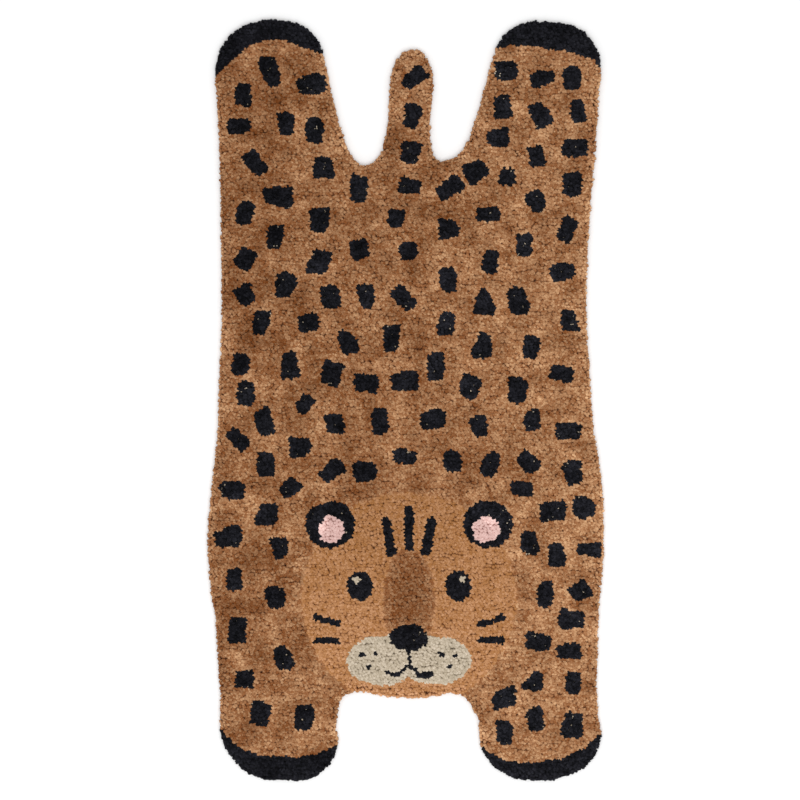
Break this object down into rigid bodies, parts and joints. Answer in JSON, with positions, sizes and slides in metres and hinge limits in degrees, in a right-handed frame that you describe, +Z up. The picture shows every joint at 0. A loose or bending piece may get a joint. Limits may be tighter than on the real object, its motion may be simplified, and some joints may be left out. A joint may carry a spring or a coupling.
{
  "type": "animal shaped kids rug",
  "caption": "Flat tufted rug for a child's room in the outline of a spotted big cat, with four legs, a tail, a short cut pile and a soft rounded rim.",
  "frame": {"origin": "middle of the rug's outline, on the underside that lies on the floor", "axes": "+Z up out of the pile, +Y from the chin towards the tail, +X to the right of somebody who looks down with the tail away from them"},
  "size_m": [0.755, 1.45, 0.0159],
  "materials": {
    "tan_pile": "matt cut pile of tan cotton yarn, a little darker between the tufts",
    "golden_pile": "matt cut pile of a paler golden cotton yarn, on the head",
    "black_pile": "matt cut pile of black cotton yarn, for the spots, toes and the face's lines",
    "grey_pile": "matt cut pile of pale warm grey cotton yarn, on the muzzle",
    "pink_pile": "matt cut pile of pale pink cotton yarn, inside the ears",
    "ground_cloth": "plain woven cotton, seen from below"
  },
  "bodies": {
    "root": {"tufted_rug": "tan_pile"}
  },
  "joints": []
}
